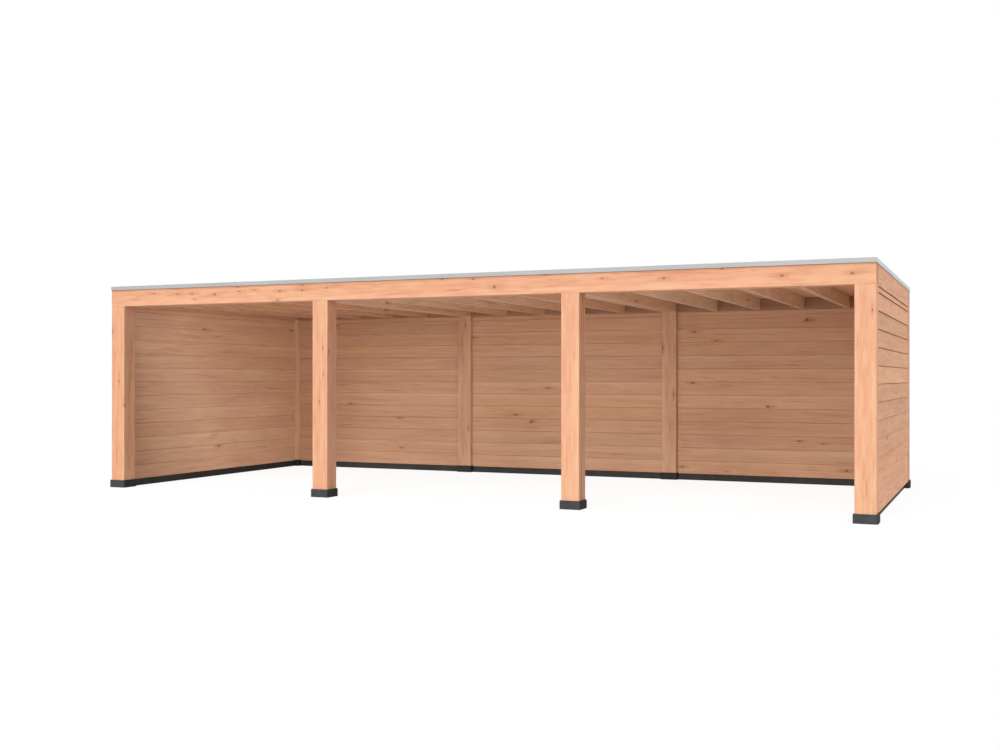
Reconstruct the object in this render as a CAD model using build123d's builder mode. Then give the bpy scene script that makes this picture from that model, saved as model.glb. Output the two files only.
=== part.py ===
from build123d import *
import os

# Patio cover, millimetres: X along the front, Y to the back, Z up, centred on the ground.

# Overall frame
cover_length = 9000.0
cover_depth = 4000.0
clear_height = 2220.0
bay_count = 3

# Posts and their block feet
post_width = 195.0
post_ease = 3.0
foot_height = 90.0
foot_overhang = 16.0
foot_corner_radius = 16.0
foot_top_bevel = 6.0
socket_depth = 12.0

# Ring beam, cross beams and rafters
beam_height = 220.0
beam_ease = 3.0
rafter_width = 60.0
rafter_height = 145.0
rafters_per_bay = 4

# Boarded walls: an outer cladding and an inner lining with a cavity between
skin_thickness = 20.0
outer_recess = 4.0
inner_recess = 55.0
plinth_drop = 10.0
plinth_width = 100.0
plinth_setback = 45.0
notch_clearance = 2.0

# Flat roof
deck_thickness = 20.0
membrane_thickness = 3.0
membrane_inset = 8.0

# Roof edge trim
trim_drip = 20.0
trim_rise = 25.0
trim_thickness = 5.0
trim_flange = 70.0
trim_flange_thickness = 3.0
trim_lip = 14.0
trim_nose_share = 0.7

# Derived lines of the frame
half_length = cover_length / 2
half_depth = cover_depth / 2
bay_pitch = cover_length / bay_count
inner_length = cover_length - 2 * post_width
inner_depth = cover_depth - 2 * post_width
row_offset = half_depth - post_width / 2
end_offset = half_length - post_width / 2
cross_offset = half_length - bay_pitch
post_bottom = foot_height - socket_depth
plinth_top = foot_height - plinth_drop
beam_top = clear_height + beam_height
deck_bottom = clear_height + rafter_height
deck_top = deck_bottom + deck_thickness
foot_width = post_width + 2 * foot_overhang

# Post columns along the front, with the plain word used for each
columns = (
    ("left", -end_offset),
    ("middle_left", -cross_offset),
    ("middle_right", cross_offset),
    ("right", end_offset),
)
rows = (("front", -row_offset), ("back", row_offset))

os.makedirs("parts", exist_ok=True)


def keep(piece, node):
    piece.label = node
    export_step(piece, f"parts/{node}.step")


# Block foot with rounded corners, a bevelled top edge and a shallow socket that holds the post
def make_foot(node, x, y):
    with BuildPart() as foot:
        with BuildSketch(Plane((x, y, 0))):
            RectangleRounded(foot_width, foot_width, foot_corner_radius)
        extrude(amount=foot_height)
        chamfer(foot.faces().sort_by(Axis.Z)[-1].edges(), foot_top_bevel)
        with BuildSketch(Plane((x, y, post_bottom))):
            Rectangle(post_width, post_width)
        extrude(amount=socket_depth, mode=Mode.SUBTRACT)
    keep(foot.part, node)


# Square timber post with eased corners, standing in its foot
def make_post(node, x, y):
    with BuildPart() as post:
        with BuildSketch(Plane((x, y, post_bottom))):
            Rectangle(post_width, post_width)
        extrude(amount=clear_height - post_bottom)
        chamfer(post.edges().filter_by(Axis.Z), post_ease)
    keep(post.part, node)


for row_name, row_y in rows:
    for column_name, column_x in columns:
        make_foot(f"{row_name}_{column_name}_foot", column_x, row_y)
        make_post(f"{row_name}_{column_name}_post", column_x, row_y)


# Front and back ring beams run over the post heads for the whole length
def make_long_beam(node, y):
    with BuildPart() as beam:
        with BuildSketch(Plane((-half_length, y, clear_height + beam_height / 2), (0, 1, 0), (1, 0, 0))):
            Rectangle(post_width, beam_height)
        extrude(amount=cover_length)
        chamfer(beam.edges().filter_by(Axis.X), beam_ease)
    keep(beam.part, node)


# Side ring beams fit between the long ones
def make_side_beam(node, x):
    with BuildPart() as beam:
        with BuildSketch(Plane((x, inner_depth / 2, clear_height + beam_height / 2), (1, 0, 0), (0, -1, 0))):
            Rectangle(post_width, beam_height)
        extrude(amount=inner_depth)
        chamfer(beam.edges().filter_by(Axis.Y), beam_ease)
    keep(beam.part, node)


make_long_beam("front_ring_beam", -row_offset)
make_long_beam("back_ring_beam", row_offset)
make_side_beam("left_ring_beam", -end_offset)
make_side_beam("right_ring_beam", end_offset)


# Cross beams join the middle posts of both rows under the roof
def make_cross_beam(node, x):
    with BuildPart() as beam:
        with BuildSketch(Plane((x, inner_depth / 2, clear_height + rafter_height / 2), (1, 0, 0), (0, -1, 0))):
            Rectangle(post_width, rafter_height)
        extrude(amount=inner_depth)
    keep(beam.part, node)


make_cross_beam("left_cross_beam", -cross_offset)
make_cross_beam("right_cross_beam", cross_offset)


# Rafters of one bay, spread so that every clear gap in the bay is the same
def make_rafters(node, bay_start, bay_end):
    gap = (bay_end - bay_start - rafters_per_bay * rafter_width) / (rafters_per_bay + 1)
    step = gap + rafter_width
    first = bay_start + gap + rafter_width / 2
    with BuildPart() as rafters:
        with BuildSketch(Plane((0, inner_depth / 2, clear_height + rafter_height / 2), (1, 0, 0), (0, -1, 0))):
            with Locations([(first + step * index, 0) for index in range(rafters_per_bay)]):
                Rectangle(rafter_width, rafter_height)
        extrude(amount=inner_depth)
    keep(rafters.part, node)


half_inner = inner_length / 2
cross_near = cross_offset - post_width / 2
cross_far = cross_offset + post_width / 2
make_rafters("left_bay_rafters", -half_inner, -cross_far)
make_rafters("middle_bay_rafters", -cross_near, cross_near)
make_rafters("right_bay_rafters", cross_far, half_inner)


# One face of a boarded wall, stepped at the lower corners to clear the feet
def make_skin(node, plane, span):
    side = span / 2
    step = side - foot_overhang - notch_clearance
    step_top = foot_height + notch_clearance
    with BuildPart() as skin:
        with BuildSketch(plane):
            with BuildLine():
                Polyline(
                    (-side, clear_height),
                    (-side, step_top),
                    (-step, step_top),
                    (-step, plinth_top),
                    (step, plinth_top),
                    (step, step_top),
                    (side, step_top),
                    (side, clear_height),
                    close=True,
                )
            make_face()
        extrude(amount=skin_thickness)
    keep(skin.part, node)


# Side walls fill the depth between the corner posts
outer_x = half_length - outer_recess
inner_x = half_length - post_width + inner_recess
make_skin("left_wall_cladding", Plane((-outer_x, 0, 0), (0, 1, 0), (1, 0, 0)), inner_depth)
make_skin("left_wall_lining", Plane((-inner_x, 0, 0), (0, -1, 0), (-1, 0, 0)), inner_depth)
make_skin("right_wall_cladding", Plane((outer_x, 0, 0), (0, -1, 0), (-1, 0, 0)), inner_depth)
make_skin("right_wall_lining", Plane((inner_x, 0, 0), (0, 1, 0), (1, 0, 0)), inner_depth)

# The back wall fills the three bays between the back posts
outer_y = half_depth - outer_recess
inner_y = half_depth - post_width + inner_recess
end_bay_span = half_inner - cross_far
end_bay_middle = (half_inner + cross_far) / 2
middle_span = 2 * cross_near
back_bays = (
    ("left", -end_bay_middle, end_bay_span),
    ("middle", 0, middle_span),
    ("right", end_bay_middle, end_bay_span),
)
for bay_name, bay_x, bay_span in back_bays:
    make_skin(f"back_{bay_name}_cladding", Plane((bay_x, outer_y, 0), (1, 0, 0), (0, -1, 0)), bay_span)
    make_skin(f"back_{bay_name}_lining", Plane((bay_x, inner_y, 0), (-1, 0, 0), (0, 1, 0)), bay_span)


# Plinth rails stand on the ground between the feet and carry the walls
def make_side_plinth(node, x):
    with BuildPart() as plinth:
        with BuildSketch(Plane((x, 0, 0))):
            Rectangle(plinth_width, inner_depth - 2 * foot_overhang)
        extrude(amount=plinth_top)
    keep(plinth.part, node)


plinth_x = half_length - plinth_setback - plinth_width / 2
plinth_y = half_depth - plinth_setback - plinth_width / 2
make_side_plinth("left_plinth", -plinth_x)
make_side_plinth("right_plinth", plinth_x)

with BuildPart() as back_plinth:
    for bay_name, bay_x, bay_span in back_bays:
        with BuildSketch(Plane((bay_x, plinth_y, 0))):
            Rectangle(bay_span - 2 * foot_overhang, plinth_width)
        extrude(amount=plinth_top)
keep(back_plinth.part, "back_plinth")

# Roof deck lies on the rafters inside the ring beam
with BuildPart() as roof_deck:
    with BuildSketch(Plane.XY.offset(deck_bottom)):
        Rectangle(inner_length, inner_depth)
    extrude(amount=deck_thickness)
keep(roof_deck.part, "roof_deck")

# Waterproof sheet covers the deck, turns up the beam and laps over its top
with BuildPart() as membrane:
    with BuildSketch(Plane.XY.offset(deck_top)):
        Rectangle(inner_length, inner_depth)
    extrude(amount=beam_top - deck_top)
    with BuildSketch(Plane.XY.offset(beam_top)):
        Rectangle(cover_length - 2 * membrane_inset, cover_depth - 2 * membrane_inset)
    extrude(amount=membrane_thickness)
    with BuildSketch(Plane.XY.offset(deck_top + membrane_thickness)):
        Rectangle(inner_length - 2 * membrane_thickness, inner_depth - 2 * membrane_thickness)
    extrude(amount=beam_top - deck_top, mode=Mode.SUBTRACT)
keep(membrane.part, "roof_membrane")


# Folded edge trim with a drip leg, a flange on the sheet and a hooked top, mitred at both ends
def make_trim(node, outward, along, reach, run):
    face = (outward[0] * reach, outward[1] * reach, beam_top)
    turn = (-along[0], -along[1], 0)
    with BuildPart() as trim:
        with BuildSketch(Plane(face, outward, turn)) as section:
            with BuildLine():
                Polyline(
                    (0, -trim_drip),
                    (trim_thickness, -trim_drip),
                    (trim_thickness, trim_rise),
                    (-trim_lip, trim_rise),
                    (-trim_lip, trim_rise - trim_thickness),
                    (0, trim_rise - trim_thickness),
                    (0, membrane_thickness + trim_flange_thickness),
                    (-trim_flange, membrane_thickness + trim_flange_thickness),
                    (-trim_flange, membrane_thickness),
                    (0, membrane_thickness),
                    close=True,
                )
            make_face()
            nose = section.vertices().sort_by(Axis.X)[-2:].sort_by(Axis.Y)[-1]
            fillet(nose, trim_thickness * trim_nose_share)
        extrude(amount=run + trim_thickness, both=True)
        for end in (-1, 1):
            corner = (face[0] + end * along[0] * run, face[1] + end * along[1] * run, 0)
            inward = (-outward[0] - end * along[0], -outward[1] - end * along[1], 0)
            mitre = (end * along[0] - outward[0], end * along[1] - outward[1], 0)
            split(bisect_by=Plane(corner, inward, mitre), keep=Keep.BOTTOM)
    keep(trim.part, node)


make_trim("front_roof_trim", (0, -1, 0), (1, 0, 0), half_depth, half_length)
make_trim("back_roof_trim", (0, 1, 0), (-1, 0, 0), half_depth, half_length)
make_trim("left_roof_trim", (-1, 0, 0), (0, -1, 0), half_length, half_depth)
make_trim("right_roof_trim", (1, 0, 0), (0, 1, 0), half_length, half_depth)
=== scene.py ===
import math
import random

import bmesh
import bpy
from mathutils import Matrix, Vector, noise


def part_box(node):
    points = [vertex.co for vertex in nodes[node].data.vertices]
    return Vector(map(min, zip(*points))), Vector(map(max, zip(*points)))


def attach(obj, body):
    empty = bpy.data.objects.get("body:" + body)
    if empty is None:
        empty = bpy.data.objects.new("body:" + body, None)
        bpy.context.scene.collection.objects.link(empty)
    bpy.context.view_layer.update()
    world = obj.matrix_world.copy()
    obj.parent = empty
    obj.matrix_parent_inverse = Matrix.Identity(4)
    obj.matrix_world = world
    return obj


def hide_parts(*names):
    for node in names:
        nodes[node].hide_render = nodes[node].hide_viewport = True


# Looks of the wooden patio cover in metres: X along the front, Y to the back, Z up.

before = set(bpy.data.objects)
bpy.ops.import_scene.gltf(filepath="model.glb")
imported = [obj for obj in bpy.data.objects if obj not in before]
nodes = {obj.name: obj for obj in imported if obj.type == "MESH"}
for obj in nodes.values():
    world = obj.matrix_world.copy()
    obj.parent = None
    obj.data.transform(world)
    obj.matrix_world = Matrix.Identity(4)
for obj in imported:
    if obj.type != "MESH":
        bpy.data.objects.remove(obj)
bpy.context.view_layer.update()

# Camera of the photograph, fitted to the cover's edges
camera_place = (5.596, -13.177, 1.359)
camera_turn_deg = 23.58
camera_pitch_deg = 0.09
camera_roll_deg = -0.03
camera_lens_mm = 41.75
camera_sensor_mm = 36.0
camera_reach = 1000.0

# Light: a soft sky, and far lamps by name, strength, elevation, turn to the right and spread, in degrees
sky_strength = 0.40
lamps = (
    ("key", 2.06, 38.0, 0.0, 36.0),
    ("front_fill", 0.45, 9.0, -12.0, 16.0),
    ("side_fill", 0.60, 4.0, 60.0, 24.0),
)
floor_half_size = 120.0
floor_tone = (0.95, 0.95, 0.95, 1.0)
floor_shadow_share = 0.12
floor_white = 1.04

# Wall and deck boards
course_pitch = 0.1735
board_end_gap = 0.0015
board_ease = 0.0015
cladding_head_gap = 0.009
lining_head_gap = 0.001
lap_step = 0.011
lap_lip = 0.004
lap_height = 0.020
lap_clearance = 0.0006
# Height of the painted shade band just under each lap
lap_shadow_band = 0.007
shade_edge = 0.001
lining_bevel = 0.004
lining_gap = 0.0007
tongue_length = 0.005
tongue_half = 0.003
groove_play = 0.0006
deck_pitch_aim = 0.121
merge_distance = 1e-6

# Roof sheet
sheet_step = 0.09
sheet_cove = 0.028
cove_shares = (0.2, 0.4, 0.6, 0.8, 1.0)
sheet_ripple = 0.0032
seam_offset = 0.62
seam_half = 0.045
seam_rise = 0.0014
smooth_limit = 0.2

# Mean wood colours, as linear light; those marked below are painted light or painted shade
post_wood = (0.745, 0.397, 0.241, 1.0)
# Painted shade on the +X sides of the front posts, all but the right one
post_side_painted_shade = (0.63, 0.362, 0.231, 1.0)
# Painted light on the back middle posts, on all but their outer faces
inner_post_painted_light = (0.88, 0.57, 0.385, 1.0)
# Painted light on the outer end faces of the side ring beams and the front right post
cover_end_painted_light = (0.86, 0.45, 0.275, 1.0)
corner_wood = (0.63, 0.335, 0.205, 1.0)
# Painted light on the faces of the ring beams inside the cover
inner_beam_painted_light = (0.78, 0.50, 0.34, 1.0)
# Painted shade on the back ring beam's inner face, between the rafters
back_beam_painted_shade = (0.46, 0.285, 0.20, 1.0)
# Painted light on the rafters and cross beams, palest in the right bay
left_rafter_painted_light = (0.84, 0.56, 0.38, 1.0)
middle_rafter_painted_light = (0.90, 0.68, 0.51, 1.0)
right_rafter_painted_light = (0.95, 0.80, 0.665, 1.0)
# Painted shade on the undersides of the rafters and cross beams
rafter_underside_painted_shade = (0.76, 0.50, 0.355, 1.0)
cladding_wood = (0.875, 0.467, 0.275, 1.0)
lining_wood = (0.885, 0.58, 0.39, 1.0)
# Painted light on the side wall linings and the back corner posts' inner faces
side_lining_painted_light = (0.96, 0.677, 0.476, 1.0)
deck_wood = (0.91, 0.585, 0.385, 1.0)
knot_ring = (0.52, 0.235, 0.125, 1.0)
knot_core = (0.30, 0.125, 0.062, 1.0)

# Shades that multiply the mean colour
deep_shade = (0.95, 0.925, 0.905, 1.0)
flame_shade = (0.955, 0.885, 0.85, 1.0)
pale_shade = (1.02, 1.045, 1.06, 1.0)
straw_shade = (1.015, 1.05, 1.01, 1.0)
blush_shade = (0.985, 0.935, 0.955, 1.0)
line_shade = (0.76, 0.62, 0.54, 1.0)
late_shade = (0.82, 0.72, 0.63, 1.0)
heart_shade = (0.97, 0.935, 0.915, 1.0)
sap_shade = (1.02, 1.04, 1.045, 1.0)
wear_shade = (1.03, 1.07, 1.10, 1.0)
# Painted shadow of the roof trim on the wood under it
trim_painted_shadow = (0.42, 0.36, 0.33, 1.0)
end_shade = (0.86, 0.80, 0.75, 1.0)
# Painted shade under each lap of the cladding
lap_painted_shade = (0.47, 0.285, 0.19)
groove_shade = (0.86, 0.80, 0.74)
# Painted shade on the +X side of the feet and plinth rails
block_side_painted_shade = (0.58, 0.56, 0.60, 1.0)
# Painted shade on the front end of the side wall linings
front_painted_shade = (0.56, 0.475, 0.44, 1.0)

# Greys of the feet, the plinth rails, the roof edge trims and the roof sheet
foot_dark = (0.042, 0.044, 0.044, 1.0)
foot_pale = (0.062, 0.064, 0.064, 1.0)
plinth_dark = (0.055, 0.058, 0.057, 1.0)
plinth_pale = (0.078, 0.082, 0.080, 1.0)
long_trim_dull = (0.35, 0.352, 0.35, 1.0)
long_trim_bright = (0.40, 0.40, 0.395, 1.0)
# Painted light: the side trims are a paler, more metallic copy of the same aluminium
lit_side_trim_dull = (0.58, 0.60, 0.61, 1.0)
lit_side_trim_bright = (0.66, 0.675, 0.68, 1.0)
clean_rubber = (0.018, 0.018, 0.019, 1.0)
dusty_rubber = (0.060, 0.058, 0.055, 1.0)
tide_mark = (0.105, 0.100, 0.092, 1.0)

# Roughness of the moulded blocks, and how metallic the trims are
foot_roughness = 0.62
plinth_roughness = 0.60
long_trim_metal = 0.1
side_trim_metal = 0.4

# Strength of each fine relief and its depth in metres
wood_relief = (0.22, 0.0012)
grit_relief = (0.3, 0.001)
metal_relief = (0.08, 0.0005)
rubber_relief = (0.25, 0.0006)

# Cosines at which a face starts to look some way, and looks there fully
turned_edges = (0.4, 0.9)
end_grain_edges = (0.5, 0.9)

# Place in the trunk that a piece is cut from, and the rise of the front beam's heart over its middle
grain_run = 60.0
board_across = (-0.14, 0.02)
board_through = (0.015, 0.10)
timber_off_pith = 0.035
heart_rise = 0.06

# Reach and unevenness of rubbed edges, reach and fading of the painted shadow under the roof trim
wear_width = 0.012
wear_waves = (3.0, 20.0, 20.0)
trim_shadow_reach = 0.032
trim_shadow_fade = 2.0

# Painted shade on the front end of the side walls: reach at the ground, fully shaded strip, reach lost per
# metre up
front_shade_reach = 1.65
front_shade_full = 0.30
front_shade_rise = 0.36

# Share of the places for a knot that have one
board_knots = 0.022
post_knots = 0.20
beam_knots = 0.36
rafter_knots = 0.02

# Strength of the flame figure
board_flame = 0.5
timber_flame = 1.0

# Shine of planed and of rough sawn wood
planed_gloss = 0.2
sawn_gloss = 0.04

# Least and most brightness of a board beside its neighbours, and its swing from cool to warm
cladding_tones = (0.90, 1.08)
lining_tones = (0.955, 1.045)
deck_tones = (0.93, 1.06)
board_warmth = 0.03


class Graph:
    """Adds nodes to one shader tree. An input takes a number, a colour or another node's output."""

    def __init__(self, tree):
        self.tree = tree

    def node(self, kind, inputs=None, **settings):
        made = self.tree.nodes.new("ShaderNode" + kind)
        for name, value in settings.items():
            setattr(made, name, value)
        for key, value in (inputs or {}).items():
            if isinstance(value, bpy.types.NodeSocket):
                self.tree.links.new(value, made.inputs[key])
            else:
                made.inputs[key].default_value = value
        return made

    def math(self, operation, first, second=0.0, clamp=False):
        return self.node("Math", {0: first, 1: second}, operation=operation, use_clamp=clamp).outputs[0]

    def vector(self, operation, first, second):
        return self.node("VectorMath", {0: first, 1: second}, operation=operation).outputs[0]

    def dot(self, first, second):
        return self.node("VectorMath", {0: first, 1: second}, operation="DOT_PRODUCT").outputs["Value"]

    def length(self, first):
        return self.node("VectorMath", {0: first}, operation="LENGTH").outputs["Value"]

    def split(self, place):
        return self.node("SeparateXYZ", {0: place}).outputs

    def join(self, *axes):
        return self.node("CombineXYZ", dict(enumerate(axes))).outputs[0]

    def noise(self, place, waves=None, detail=2.0, out="Fac"):
        """Cloudy noise, with so many waves per metre along each axis."""
        if waves:
            place = self.vector("MULTIPLY", place, waves)
        inputs = {"Vector": place, "Scale": 1.0, "Detail": detail}
        return self.node("TexNoise", inputs).outputs[out]

    def span(self, value, low, high, new_low, new_high):
        inputs = {0: value, 1: low, 2: high, 3: new_low, 4: new_high}
        return self.node("MapRange", inputs).outputs[0]

    def ramp(self, value, *stops):
        made = self.node("ValToRGB", {"Fac": value})
        elements = made.color_ramp.elements
        while len(elements) < len(stops):
            elements.new(1.0)
        for element, (place, colour) in zip(elements, stops):
            element.position = place
            element.color = colour
        return made.outputs["Color"]

    def mix(self, share, first, second, blend="MIX"):
        made = self.node("Mix", {0: share, 6: first, 7: second}, data_type="RGBA", blend_type=blend)
        return made.outputs[2]

    def tint(self, colour, shade, share=1.0):
        return self.mix(share, colour, shade, blend="MULTIPLY")

    def relief(self, height, strength, depth):
        """Shading normal of a fine relief."""
        made = self.node("Bump", {"Height": height, "Strength": strength, "Distance": depth})
        return made.outputs["Normal"]


def grey(level):
    """Even grey as a colour."""
    return (level, level, level, 1.0)


def new_material(name):
    """An empty material and its graph."""
    material = bpy.data.materials.new(name)
    material.use_nodes = True
    material.node_tree.nodes.clear()
    return material, Graph(material.node_tree)


def close_material(graph, shader):
    """Ends a material in this shader."""
    graph.node("OutputMaterial", {"Surface": shader})


def close_surface(graph, inputs):
    """Ends a material in one surface shader with these inputs."""
    close_material(graph, graph.node("BsdfPrincipled", inputs).outputs[0])


def wood_figure():
    """Node group for planed softwood.

    Grain is a place in metres, with X along the fibres and the pith at Y = Z = 0.
    Knots is the share of places along and round the trunk that have a branch.
    Flame is the strength of the short flames.
    """
    across_only = (0.0, 1.0, 1.0)
    knot_cell = (0.30, 1.1, 1.0)
    knot_stretch = 0.55
    knot_radii = (0.004, 0.012)
    knot_edge = 0.006
    knot_bleed = 0.4
    smudge_stretch = 0.17
    smudge_reach = 2.6
    pith_waves = (0.7, 2.6, 2.6)
    pith_wander = (0.0, 0.06, 0.06)
    heart_radii = (0.09, 0.15)
    ring_width = 0.0055
    ring_push = 3.0
    year_waves = (0.36, 0.2, 0.0)
    flame_waves = (4.2, 26.0, 26.0)
    late_share = 0.3
    late_sink = 0.5
    smudge_share = 0.75
    core_share = 0.85
    figure_roughness = (0.68, 0.54)
    plain = grey(1.0)

    tree = bpy.data.node_groups.new("wood_figure", "ShaderNodeTree")
    for name, kind in (("Grain", "Vector"), ("Base", "Color"), ("Knots", "Float"), ("Flame", "Float")):
        tree.interface.new_socket(name, in_out="INPUT", socket_type="NodeSocket" + kind)
    for name, kind in (("Colour", "Color"), ("Height", "Float"), ("Roughness", "Float")):
        tree.interface.new_socket(name, in_out="OUTPUT", socket_type="NodeSocket" + kind)
    g = Graph(tree)
    entry = tree.nodes.new("NodeGroupInput")
    grain = entry.outputs["Grain"]

    def drawn_out(along, across, detail=2.0):
        """Noise with so many waves per metre along and across the fibres."""
        return g.noise(grain, (along, across, across), detail)

    # Knots: branches that run out from the pith, in some cells of length and angle, each with its own size
    axes = g.split(grain)
    angle = g.math("ARCTAN2", axes[1], axes[2])
    reach = g.length(g.vector("MULTIPLY", grain, across_only))
    cell_place = g.vector("DIVIDE", g.join(axes[0], angle), knot_cell)
    cells = g.node("TexVoronoi", {"Vector": cell_place, "Scale": 1.0}, voronoi_dimensions="2D").outputs
    off_centre = g.vector("SUBTRACT", cell_place, cells["Position"])
    away = g.split(g.vector("MULTIPLY", off_centre, knot_cell))
    aside = g.math("MULTIPLY", away[1], reach)
    distance = g.length(g.join(g.math("MULTIPLY", away[0], knot_stretch), aside))
    smudge = g.length(g.join(g.math("MULTIPLY", away[0], smudge_stretch), aside))
    draw = g.node("SeparateColor", {0: cells["Color"]}).outputs
    present = g.math("LESS_THAN", draw[0], entry.outputs["Knots"])
    radius = g.span(draw[1], 0.0, 1.0, *knot_radii)
    edge = g.math("DIVIDE", g.math("SUBTRACT", radius, distance), knot_edge)
    core = g.math("MULTIPLY", g.math("ADD", edge, knot_bleed, clamp=True), present)
    near = g.math("DIVIDE", smudge, g.math("MULTIPLY", radius, smudge_reach))
    halo = g.math("MULTIPLY", g.math("SUBTRACT", 1.0, near, clamp=True), present)

    # Growth rings round a wandering pith, pushed aside by the knots, in good and poor years
    wander = g.noise(grain, pith_waves, out="Color")
    shift = g.vector("MULTIPLY", g.vector("SUBTRACT", wander, (0.5, 0.5, 0.5)), pith_wander)
    ring_radius = g.length(g.vector("MULTIPLY", g.vector("ADD", grain, shift), across_only))
    turns = g.math("ADD", g.math("DIVIDE", ring_radius, ring_width), g.math("MULTIPLY", halo, ring_push))
    late = g.ramp(
        g.math("FRACT", turns), (0.0, grey(0.0)), (0.45, grey(0.12)), (0.88, grey(1.0)), (1.0, grey(0.0))
    )
    year = g.noise(g.join(turns, axes[0]), year_waves, detail=1.0)

    # Streaks, thin dark lines in patches, broad bands, short flames and fine fibres along the grain
    streak = drawn_out(along=1.6, across=22.0, detail=3.0)
    line = drawn_out(along=2.2, across=62.0, detail=1.0)
    patch = drawn_out(along=1.4, across=11.0, detail=1.0)
    band = drawn_out(along=0.9, across=7.0)
    flame = g.noise(g.vector("ADD", g.vector("MULTIPLY", grain, flame_waves), wander))
    fibre = drawn_out(along=7.0, across=430.0)
    streaks = g.ramp(streak, (0.30, deep_shade), (0.50, plain), (0.70, pale_shade))
    lined = g.math("MULTIPLY", g.span(line, 0.44, 0.30, 0.0, 0.7), g.span(patch, 0.52, 0.64, 0.0, 1.0))
    bands = g.ramp(band, (0.34, straw_shade), (0.50, plain), (0.66, blush_shade))
    flames = g.ramp(flame, (0.32, flame_shade), (0.50, plain), (0.68, pale_shade))
    fibres = g.ramp(fibre, (0.3, grey(0.93)), (0.7, plain))
    years = g.ramp(year, (0.30, deep_shade), (0.52, plain), (0.72, pale_shade))
    heart = g.ramp(g.span(ring_radius, *heart_radii, 0.0, 1.0), (0.0, heart_shade), (1.0, sap_shade))

    colour = g.tint(entry.outputs["Base"], streaks)
    colour = g.tint(colour, bands)
    colour = g.tint(colour, years)
    colour = g.tint(colour, flames, entry.outputs["Flame"])
    colour = g.tint(colour, heart)
    colour = g.tint(colour, line_shade, lined)
    colour = g.tint(colour, late_shade, g.math("MULTIPLY", late, late_share))
    colour = g.tint(colour, fibres)
    colour = g.mix(g.math("MULTIPLY", halo, smudge_share), colour, knot_ring)
    colour = g.mix(g.math("MULTIPLY", core, core_share), colour, knot_core)

    height = g.math("SUBTRACT", g.math("ADD", fibre, core), g.math("MULTIPLY", late, late_sink))
    roughness = g.span(streak, 0.2, 0.8, *figure_roughness)
    out = tree.nodes.new("NodeGroupOutput")
    for name, value in (("Colour", colour), ("Height", height), ("Roughness", roughness)):
        tree.links.new(value, out.inputs[name])
    return tree


figure = wood_figure()


def finish_wood(graph, grain, base, knots, flame, shade, gloss):
    """Wood shader on a grain place, in a mean colour and under a shade that varies over the piece."""
    inputs = {"Grain": grain, "Base": base, "Knots": knots, "Flame": flame}
    wood = graph.node("Group", inputs, node_tree=figure).outputs
    close_surface(
        graph,
        {
            "Base Color": graph.tint(wood["Colour"], shade),
            "Roughness": wood["Roughness"],
            "Normal": graph.relief(wood["Height"], *wood_relief),
            "Specular IOR Level": gloss,
        },
    )


def timber(node, order, pith, run, knots, base, turned, turned_base):
    """Material for a solid timber. Order lists the axes along, across and through; pith is the ring centre.

    Faces that look along turned take a mean colour of their own: painted light on some timbers, painted
    shade on others.
    """
    material, g = new_material(node + "_wood")
    coordinates = g.node("TexCoord").outputs
    normal = coordinates["Normal"]
    axes = g.split(coordinates["Object"])
    swapped = g.join(*(axes[axis] for axis in order))
    grain = g.vector("ADD", swapped, (run, -pith[0], -pith[1]))
    end_grain = g.span(g.math("ABSOLUTE", g.split(normal)[order[0]]), *end_grain_edges, 0.0, 1.0)
    shade = g.mix(end_grain, grey(1.0), end_shade)

    # Arrises are rubbed pale, more in some places than in others
    low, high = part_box(node)
    insets = []
    for axis in order[1:]:
        off_centre = g.math("ABSOLUTE", g.math("SUBTRACT", axes[axis], (low[axis] + high[axis]) / 2))
        insets.append(g.math("SUBTRACT", (high[axis] - low[axis]) / 2, off_centre))
    rubbed = g.span(g.math("MAXIMUM", insets[0], insets[1]), 0.0, wear_width, 1.0, 0.0)
    patchy = g.span(g.noise(grain, wear_waves), 0.35, 0.65, 0.3, 1.0)
    shade = g.tint(shade, wear_shade, g.math("MULTIPLY", rubbed, patchy))

    # Painted shadow of the roof trim on the wood just under it
    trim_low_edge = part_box("front_roof_trim")[0].z
    under_trim = g.span(axes[2], trim_low_edge - trim_shadow_reach, trim_low_edge, 0.0, 1.0)
    shade = g.tint(shade, trim_painted_shadow, g.math("POWER", under_trim, trim_shadow_fade))

    # The second mean colour paints light or shade on the faces that look along turned
    looks_there = g.span(g.dot(normal, turned), *turned_edges, 0.0, 1.0)
    mean = g.mix(looks_there, base, turned_base)
    gloss = sawn_gloss if "rafters" in node else planed_gloss
    finish_wood(g, grain, mean, knots, timber_flame, shade, gloss)
    return material


def board_wood(name, base, shaded_front=False):
    """Material for sawn boards, which carry their own grain place and tone.

    Painted shade can darken the front end of a side wall, most near the ground.
    """
    material, g = new_material(name)
    grain = g.node("Attribute", attribute_name="grain").outputs["Vector"]
    shade = g.node("Attribute", attribute_name="tone").outputs["Color"]
    # Painted shade on the front end of a side wall
    if shaded_front:
        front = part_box("left_wall_lining")[0].y
        axes = g.split(g.node("TexCoord").outputs["Object"])
        inward = g.math("SUBTRACT", axes[1], front)
        inward = g.math("ADD", inward, g.math("MULTIPLY", axes[2], front_shade_rise))
        shade = g.tint(shade, front_painted_shade, g.span(inward, front_shade_reach, front_shade_full, 0.0, 1.0))
    finish_wood(g, grain, base, board_knots, board_flame, shade, planed_gloss)
    return material


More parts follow.
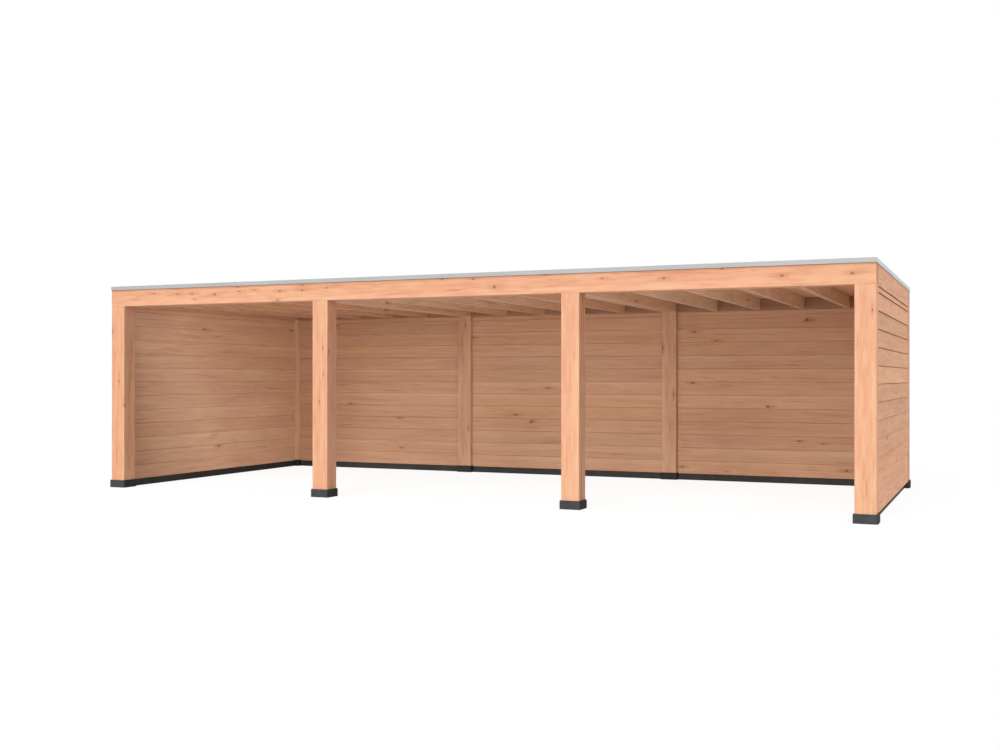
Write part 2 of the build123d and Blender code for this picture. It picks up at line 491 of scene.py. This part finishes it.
def speckled_grey(name, dark, pale, roughness):
    """Dark grey moulded block with fine aggregate and faint dust, and painted shade on its +X side."""
    grit_waves = (420.0, 420.0, 420.0)
    cloud_waves = (9.0, 9.0, 9.0)
    cloud_roughness = 0.15
    block_gloss = 0.1
    fleck = tuple(2.0 * c for c in pale[:3]) + (1.0,)
    material, g = new_material(name)
    coordinates = g.node("TexCoord").outputs
    place = coordinates["Object"]
    grit = g.noise(place, grit_waves, detail=3.0)
    cloud = g.noise(place, cloud_waves, detail=4.0)
    colour = g.ramp(cloud, (0.3, dark), (0.75, pale))
    colour = g.mix(g.span(grit, 0.55, 0.75, 0.0, 0.5), colour, fleck)
    # Painted shade on the +X side
    shaded_side = g.span(g.split(coordinates["Normal"])[0], *turned_edges, 0.0, 1.0)
    close_surface(
        g,
        {
            "Base Color": g.tint(colour, block_side_painted_shade, shaded_side),
            "Roughness": g.span(cloud, 0.2, 0.8, roughness, roughness + cloud_roughness),
            "Normal": g.relief(grit, *grit_relief),
            "Specular IOR Level": block_gloss,
        },
    )
    return material


def edge_metal(name, along, dull, bright, metallic):
    """Mill aluminium with fine lines along the length and soft oxide clouds."""
    line_waves = tuple(2.0 if axis == along else 900.0 for axis in range(3))
    cloud_waves = (1.6, 1.6, 6.0)
    line_roughness = (0.44, 0.58)
    material, g = new_material(name)
    place = g.node("TexCoord").outputs["Object"]
    lines = g.noise(place, line_waves)
    cloud = g.noise(place, cloud_waves, detail=4.0)
    close_surface(
        g,
        {
            "Base Color": g.ramp(cloud, (0.3, dull), (0.7, bright)),
            "Metallic": metallic,
            "Roughness": g.span(lines, 0.2, 0.8, *line_roughness),
            "Normal": g.relief(lines, *metal_relief),
        },
    )
    return material


def roof_rubber(name):
    """Black roofing sheet with dust and the tide marks of dried puddles."""
    dust_waves = (1.3, 1.3, 1.3)
    puddle_waves = (0.9, 1.1, 1.0)
    grain_waves = (260.0, 260.0, 260.0)
    puddle_edge = 0.56
    tide_half = 0.014
    dust_roughness = (0.48, 0.72)
    material, g = new_material(name)
    place = g.node("TexCoord").outputs["Object"]
    dust = g.noise(place, dust_waves, detail=6.0)
    puddle = g.noise(place, puddle_waves)
    grain = g.noise(place, grain_waves)
    colour = g.ramp(dust, (0.35, clean_rubber), (0.72, dusty_rubber))
    tide = g.span(g.math("ABSOLUTE", g.math("SUBTRACT", puddle, puddle_edge)), 0.0, tide_half, 1.0, 0.0)
    tide = g.math("MULTIPLY", tide, g.span(dust, 0.45, 0.65, 0.0, 0.4))
    close_surface(
        g,
        {
            "Base Color": g.mix(tide, colour, tide_mark),
            "Roughness": g.span(dust, 0.3, 0.75, *dust_roughness),
            "Normal": g.relief(grain, *rubber_relief),
        },
    )
    return material


def lap_profile(low, high, thickness, first, last):
    """Wedge board seen end on: its proud foot laps over the thin head of the board below.

    Points are (depth, height, full tone). Points in a joint don't take the full tone, and a band just under
    each lap is painted shade.
    """
    slope = lap_step / course_pitch
    head = high if last else high + lap_height
    shadowed = high - lap_shadow_band
    unshadowed = shadowed - shade_edge
    points = [
        (slope * (head - low), head, False),
        (slope * (shadowed - low), shadowed, False),
        (slope * (unshadowed - low), unshadowed, True),
        (slope * board_ease, low + board_ease, True),
        (board_ease, low, False),
    ]
    if first:
        points.append((thickness, low, False))
    else:
        seat = low + lap_height + lap_clearance
        points += [(lap_lip, low, False), (lap_lip, seat, False), (thickness, seat, False)]
    points.append((thickness, head, False))
    return points


def tongue_profile(low, high, thickness, first, last):
    """Bevelled matchboard seen end on, with a tongue up and a groove down; points as in lap_profile."""
    middle = thickness / 2
    wide = tongue_half + groove_play
    deep = tongue_length + groove_play
    top = high - lining_gap
    bottom = low + lining_gap
    points = [
        (0.0, bottom + lining_bevel, True),
        (0.0, top - lining_bevel, True),
        (lining_bevel, top, False),
    ]
    if not last:
        points += [
            (middle - tongue_half, top, False),
            (middle - tongue_half, top + tongue_length, False),
            (middle + tongue_half, top + tongue_length, False),
            (middle + tongue_half, top, False),
        ]
    points += [(thickness, top, False), (thickness, bottom, False)]
    if not first:
        points += [
            (middle + wide, bottom, False),
            (middle + wide, bottom + deep, False),
            (middle - wide, bottom + deep, False),
            (middle - wide, bottom, False),
        ]
    points.append((lining_bevel, bottom, False))
    return points


class Boards:
    """One mesh of separate boards, each with its own grain place and tone."""

    def __init__(self, name, joint_shade, tones):
        self.name = name
        self.joint_shade = joint_shade
        self.tones = tones
        self.mesh = bmesh.new()
        self.grain = self.mesh.verts.layers.float_vector.new("grain")
        self.tone = self.mesh.verts.layers.float_color.new("tone")
        self.draws = random.Random(name)

    def add(self, stations, seat):
        """One board through stations of (along, profile).

        Seat turns along, depth and height into a place.
        """
        draws = self.draws
        run = draws.uniform(0.0, grain_run)
        across = draws.uniform(*board_across)
        through = draws.uniform(*board_through)
        light = draws.uniform(*self.tones)
        warm = draws.uniform(-board_warmth, board_warmth)
        tone = (light * (1 + warm / 3), light, light * (1 - warm))
        dark = [c * shade for c, shade in zip(tone, self.joint_shade)]
        base = min(height for _, height, _ in stations[0][1])
        loops = []
        for along, profile in stations:
            loop = []
            for depth, height, full_tone in profile:
                vert = self.mesh.verts.new(seat(along, depth, height))
                vert[self.grain] = (along + run, height - base + across, depth + through)
                vert[self.tone] = (*(tone if full_tone else dark), 1.0)
                loop.append(vert)
            loops.append(loop)
        for near, far in zip(loops, loops[1:]):
            for i in range(len(near)):
                self.mesh.faces.new((near[i - 1], near[i], far[i], far[i - 1]))
        self.mesh.faces.new(loops[0])
        self.mesh.faces.new(loops[-1])

    def close(self, material, slot, node):
        """Turns the boards into one piece that stands for a node."""
        bmesh.ops.recalc_face_normals(self.mesh, faces=self.mesh.faces)
        data = bpy.data.meshes.new(self.name)
        self.mesh.to_mesh(data)
        self.mesh.free()
        place_piece(self.name, data, material, node)


def place_piece(name, data, material, node):
    """Adds a mesh to the scene as a piece that stands for a node."""
    piece = bpy.data.objects.new(name, data)
    bpy.context.scene.collection.objects.link(piece)
    data.materials.append(material)
    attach(piece, "root")
    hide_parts(node)


def skin_seat(node, outward):
    """How a wall skin's along, depth and height become a place, and the skin's span and thickness."""
    low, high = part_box(node)
    axis = 0 if outward[0] else 1
    side = outward[axis]
    face = high[axis] if side > 0 else low[axis]

    def seat(along, depth, height):
        across = face - side * depth
        return (across, along, height) if axis == 0 else (along, across, height)

    return seat, low[1 - axis], high[1 - axis], high[axis] - low[axis]


def board_wall(node, outward, profile, head_gap, joint_shade, tones, material):
    """Courses of boards in place of a wall skin, the lowest one stepped round the post feet."""
    low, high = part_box(node)
    seat, start, end, thickness = skin_seat(node, outward)
    foot_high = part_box("front_left_foot")[1]
    post_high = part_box("front_left_post")[1]
    notch = foot_high.x - post_high.x + board_end_gap
    notch_top = foot_high.z + board_end_gap
    boards = Boards(node + "_boards", joint_shade, tones)
    top = high.z - head_gap
    count = math.ceil((top - low.z) / course_pitch)
    for course in range(count):
        foot = low.z + course * course_pitch
        first = course == 0
        last = course == count - 1
        head = top if last else foot + course_pitch
        whole = profile(foot, head, thickness, first, last)
        stations = [(start + board_end_gap, whole), (end - board_end_gap, whole)]
        if first:
            cut = [(depth, max(height, notch_top), full_tone) for depth, height, full_tone in whole]
            stations = [
                (start + board_end_gap, cut),
                (start + notch, cut),
                (start + notch, whole),
                (end - notch, whole),
                (end - notch, cut),
                (end - board_end_gap, cut),
            ]
        boards.add(stations, seat)
    bmesh.ops.remove_doubles(boards.mesh, verts=boards.mesh.verts, dist=merge_distance)
    boards.close(material, "wall_boards", node)


def roof_boards(material):
    """Deck boards along the roof in three lengths that meet over the cross beams."""
    low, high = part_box("roof_deck")
    joints = [low.x]
    for node in ("left_cross_beam", "right_cross_beam"):
        beam_low, beam_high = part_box(node)
        joints.append((beam_low.x + beam_high.x) / 2)
    joints.append(high.x)
    count = round((high.y - low.y) / deck_pitch_aim)
    pitch = (high.y - low.y) / count
    boards = Boards("roof_deck_boards", groove_shade, deck_tones)

    def seat(along, depth, height):
        """Deck boards show their lower face, and their height runs across the roof."""
        return along, height, low.z + depth

    for course in range(count):
        first = course == 0
        last = course == count - 1
        foot = low.y + course * pitch
        whole = tongue_profile(foot, foot + pitch, high.z - low.z, first, last)
        for start, end in zip(joints, joints[1:]):
            boards.add([(start + board_end_gap, whole), (end - board_end_gap, whole)], seat)
    boards.close(material, "deck_boards", "roof_deck")


def sheet_stations(inner, outer, extra):
    """Places along one axis of the roof sheet: fine over the coves and seams, coarse between."""
    field = inner - sheet_cove
    count = round(2 * field / sheet_step)
    places = [field * (2 * i / count - 1) for i in range(count + 1)]
    for share in cove_shares:
        places += [field + sheet_cove * share, -field - sheet_cove * share]
    return sorted(places + [outer, -outer] + extra)


def roof_sheet(material):
    """Rubber sheet in three strips, loose on the deck, coved up the ring beam and lapped over its top."""
    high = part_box("roof_membrane")[1]
    deck_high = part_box("roof_deck")[1]
    beam_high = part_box("front_ring_beam")[1]
    thickness = high.z - beam_high.z
    edges = [side * (seam_offset + end * seam_half) for side in (-1, 1) for end in (-1, 1)]
    seams = [edge + side * shade_edge for edge in edges for side in (-1, 1)]
    across = sheet_stations(deck_high.x, high.x, [])
    along = sheet_stations(deck_high.y, high.y, seams)

    def top(x, y):
        """Height of the sheet's upper face."""
        inset = min(deck_high.x - abs(x), deck_high.y - abs(y))
        climb = min(max(1 - inset / sheet_cove, 0.0), 1.0)
        climb = climb * climb * (3 - 2 * climb)
        broad = noise.noise((1.7 * x, 1.7 * y, 0.0))
        narrow = noise.noise((2.2 * x, 5.0 * y, 4.0))
        lift = sheet_ripple * (0.5 + 0.5 * (0.6 * broad + 0.4 * narrow))
        if abs(abs(y) - seam_offset) < seam_half:
            lift += seam_rise
        field = deck_high.z + thickness + lift
        return field + climb * (high.z - field)

    mesh = bmesh.new()
    layers = []
    for drop in (0.0, thickness):
        layers.append([[mesh.verts.new((x, y, top(x, y) - drop)) for y in along] for x in across])
    for layer in layers:
        for near, far in zip(layer, layer[1:]):
            for i in range(len(near) - 1):
                mesh.faces.new((near[i], far[i], far[i + 1], near[i + 1]))
    rims = []
    for layer in layers:
        front = [row[0] for row in layer]
        back = [row[-1] for row in layer[-2::-1]]
        rims.append(front + layer[-1][1:] + back + layer[0][-2:0:-1])
    for i in range(len(rims[0])):
        mesh.faces.new((rims[0][i - 1], rims[0][i], rims[1][i], rims[1][i - 1]))
    bmesh.ops.recalc_face_normals(mesh, faces=mesh.faces)
    for face in mesh.faces:
        face.smooth = abs(face.normal.z) > smooth_limit
    data = bpy.data.meshes.new("roof_sheet")
    mesh.to_mesh(data)
    mesh.free()
    place_piece("roof_sheet", data, material, "roof_membrane")


def dress(node, material):
    """Gives a CAD node its finish."""
    data = nodes[node].data
    data.materials.clear()
    data.materials.append(material)


def timber_looks(node):
    """A timber's share of knots, its mean colour, the way that some of its faces look, and their colour.

    Painted light makes faces inside the cover, the outer end faces and the rafter sides paler; painted
    shade darkens the +X sides of the other front posts, the rafter undersides and the back beam's inner
    face. The back corner posts are darker outside.
    """
    end = (1.0, 0.0, 0.0) if "right" in node else (-1.0, 0.0, 0.0)
    if node.endswith(("_rafters", "_cross_beam")):
        # Painted light on the rafter sides, different in each bay
        bay_painted_light = {"left_bay_rafters": left_rafter_painted_light, "right_bay_rafters": right_rafter_painted_light}
        return rafter_knots, bay_painted_light.get(node, middle_rafter_painted_light), (0.0, 0.0, -1.0), rafter_underside_painted_shade
    if node == "front_ring_beam":
        return beam_knots, post_wood, (0.0, 1.0, 0.0), inner_beam_painted_light
    if node == "back_ring_beam":
        return beam_knots, post_wood, (0.0, -1.0, 0.0), back_beam_painted_shade
    if node.endswith("_ring_beam"):
        return beam_knots, inner_beam_painted_light, end, cover_end_painted_light
    if node.startswith("back_middle"):
        return post_knots, inner_post_painted_light, (0.0, 1.0, 0.0), post_wood
    if node.startswith("back_"):
        return post_knots, corner_wood, (-end[0], -1.0, 0.0), side_lining_painted_light
    if node == "front_right_post":
        return post_knots, post_wood, end, cover_end_painted_light
    return post_knots, post_wood, (1.0, 0.0, 0.0), post_side_painted_shade


def dress_timbers():
    """Each post, beam and rafter set gets its own stretch of wood, with the pith near its middle."""
    draws = random.Random("timbers")
    orders = {"upright": (2, 0, 1), "lengthwise": (0, 2, 1), "crosswise": (1, 2, 0)}
    for node in sorted(nodes):
        if node.endswith("_post"):
            order = orders["upright"]
        elif node in ("front_ring_beam", "back_ring_beam"):
            order = orders["lengthwise"]
        elif node.endswith(("_ring_beam", "_cross_beam", "_rafters")):
            order = orders["crosswise"]
        else:
            continue
        low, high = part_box(node)
        middle = (low + high) / 2
        pith = [middle[axis] + draws.uniform(-timber_off_pith, timber_off_pith) for axis in order[1:]]
        if node == "front_ring_beam":
            pith[0] = middle.z + heart_rise
        run = draws.uniform(0.0, grain_run)
        dress(node, timber(node, order, pith, run, *timber_looks(node)))


def dress_rest():
    """Feet, plinth rails and roof edge trims."""
    foot = speckled_grey("foot_block", foot_dark, foot_pale, foot_roughness)
    plinth = speckled_grey("plinth_rail", plinth_dark, plinth_pale, plinth_roughness)
    long_trim = edge_metal("trim_along_x", 0, long_trim_dull, long_trim_bright, long_trim_metal)
    # The side trims take a paler copy of the aluminium, painted light
    side_trim = edge_metal("trim_along_y", 1, lit_side_trim_dull, lit_side_trim_bright, side_trim_metal)
    for node in nodes:
        if node.endswith("_foot"):
            dress(node, foot)
        elif node.endswith("_plinth"):
            dress(node, plinth)
        elif node in ("front_roof_trim", "back_roof_trim"):
            dress(node, long_trim)
        elif node.endswith("_roof_trim"):
            dress(node, side_trim)


def build_boards():
    """Boarded walls and the roof deck."""
    outside = board_wood("cladding_boards", cladding_wood)
    inside = board_wood("lining_boards", lining_wood)
    inside_ends = board_wood("side_lining_boards", side_lining_painted_light, shaded_front=True)
    lapped = (lap_profile, cladding_head_gap, lap_painted_shade, cladding_tones)
    tongued = (tongue_profile, lining_head_gap, groove_shade, lining_tones)
    for side, outward in (("left", -1), ("right", 1)):
        board_wall(side + "_wall_cladding", (outward, 0), *lapped, outside)
        board_wall(side + "_wall_lining", (-outward, 0), *tongued, inside_ends)
    for bay in ("left", "middle", "right"):
        board_wall("back_" + bay + "_cladding", (0, 1), *lapped, outside)
        board_wall("back_" + bay + "_lining", (0, -1), *tongued, inside)
    roof_boards(board_wood("deck_boards", deck_wood))


def seen_ray(graph):
    """1 for rays that show the background: straight to the camera, mirrored or through glass."""
    path = graph.node("LightPath").outputs
    seen = graph.math("MAXIMUM", path["Is Camera Ray"], path["Is Glossy Ray"])
    return graph.math("MAXIMUM", seen, path["Is Transmission Ray"])


def make_floor():
    """White floor that lights the cover from below and keeps a faint shadow of it."""
    mesh = bmesh.new()
    bmesh.ops.create_grid(mesh, x_segments=1, y_segments=1, size=floor_half_size)
    data = bpy.data.meshes.new("floor")
    mesh.to_mesh(data)
    mesh.free()
    floor = bpy.data.objects.new("floor", data)
    bpy.context.scene.collection.objects.link(floor)
    material, g = new_material("floor_white")
    matte = g.node("BsdfDiffuse", {"Color": floor_tone}).outputs[0]
    white = g.node("Emission", {"Color": grey(1.0), "Strength": floor_white}).outputs[0]
    shown = g.node("MixShader", {0: floor_shadow_share, 1: white, 2: matte}).outputs[0]
    close_material(g, g.node("MixShader", {0: seen_ray(g), 1: matte, 2: shown}).outputs[0])
    data.materials.append(material)


def make_sky():
    """White sky that shows at full strength and lights at a plain level."""
    world = bpy.data.worlds.new("sky")
    bpy.context.scene.world = world
    world.use_nodes = True
    world.node_tree.nodes.clear()
    g = Graph(world.node_tree)
    strength = g.span(seen_ray(g), 0.0, 1.0, sky_strength, 1.0)
    background = g.node("Background", {"Color": grey(1.0), "Strength": strength})
    g.node("OutputWorld", {"Surface": background.outputs[0]})


def make_lamp(name, strength, elevation_deg, turn_deg, spread_deg):
    """Soft far light from the front; a positive turn brings it from the right."""
    data = bpy.data.lights.new(name, "SUN")
    data.energy = strength
    data.angle = math.radians(spread_deg)
    lamp = bpy.data.objects.new(name, data)
    lamp.rotation_euler = (math.radians(90.0 - elevation_deg), 0.0, math.radians(turn_deg))
    bpy.context.scene.collection.objects.link(lamp)


def make_camera():
    """Camera in the place that the photograph was taken from."""
    data = bpy.data.cameras.new("camera")
    data.sensor_fit = "HORIZONTAL"
    data.sensor_width = camera_sensor_mm
    data.lens = camera_lens_mm
    data.clip_end = camera_reach
    camera = bpy.data.objects.new("camera", data)
    camera.location = camera_place
    camera.rotation_euler = (
        math.radians(90.0 + camera_pitch_deg),
        math.radians(camera_roll_deg),
        math.radians(camera_turn_deg),
    )
    bpy.context.scene.collection.objects.link(camera)
    bpy.context.scene.camera = camera


make_camera()
make_sky()
make_floor()
for lamp in lamps:
    make_lamp(*lamp)
dress_timbers()
dress_rest()
build_boards()
roof_sheet(roof_rubber("roof_rubber"))
bpy.context.scene.view_settings.view_transform = "Standard"
